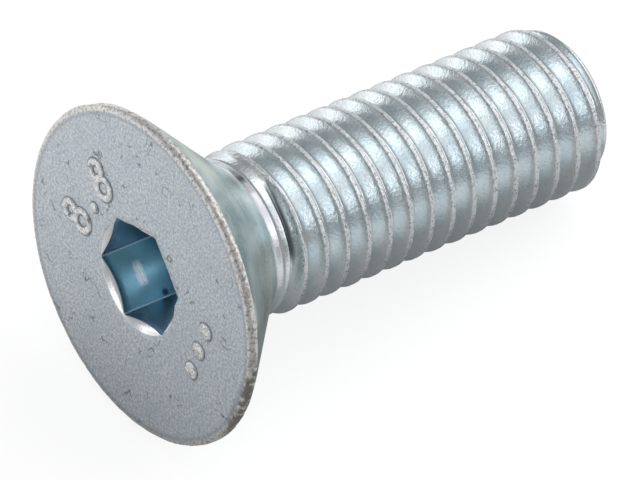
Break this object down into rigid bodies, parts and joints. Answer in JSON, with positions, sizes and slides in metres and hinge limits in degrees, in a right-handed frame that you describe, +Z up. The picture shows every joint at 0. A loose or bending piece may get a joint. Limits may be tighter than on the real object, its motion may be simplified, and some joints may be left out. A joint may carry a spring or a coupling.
{
  "type": "countersunk socket screw",
  "caption": "Countersunk machine screw with a flat conical head, a hexagon socket and a full-length rolled metric thread, zinc plated.",
  "frame": {"origin": "middle of the bounding box, on the flat surface that the screw lies on", "axes": "+Z up; +X along the screw as seen from above, from the head to the tip; the screw's own axis dips towards the tip in the XZ plane, as the head's rim holds that end up"},
  "size_m": [0.032, 0.02, 0.0197],
  "materials": {
    "zinc_plated_steel": "bright blue-white zinc plating, satin on the head face, glossy on the cone and thread flanks"
  },
  "bodies": {
    "root": {"countersunk_socket_screw": "zinc_plated_steel"}
  },
  "joints": []
}
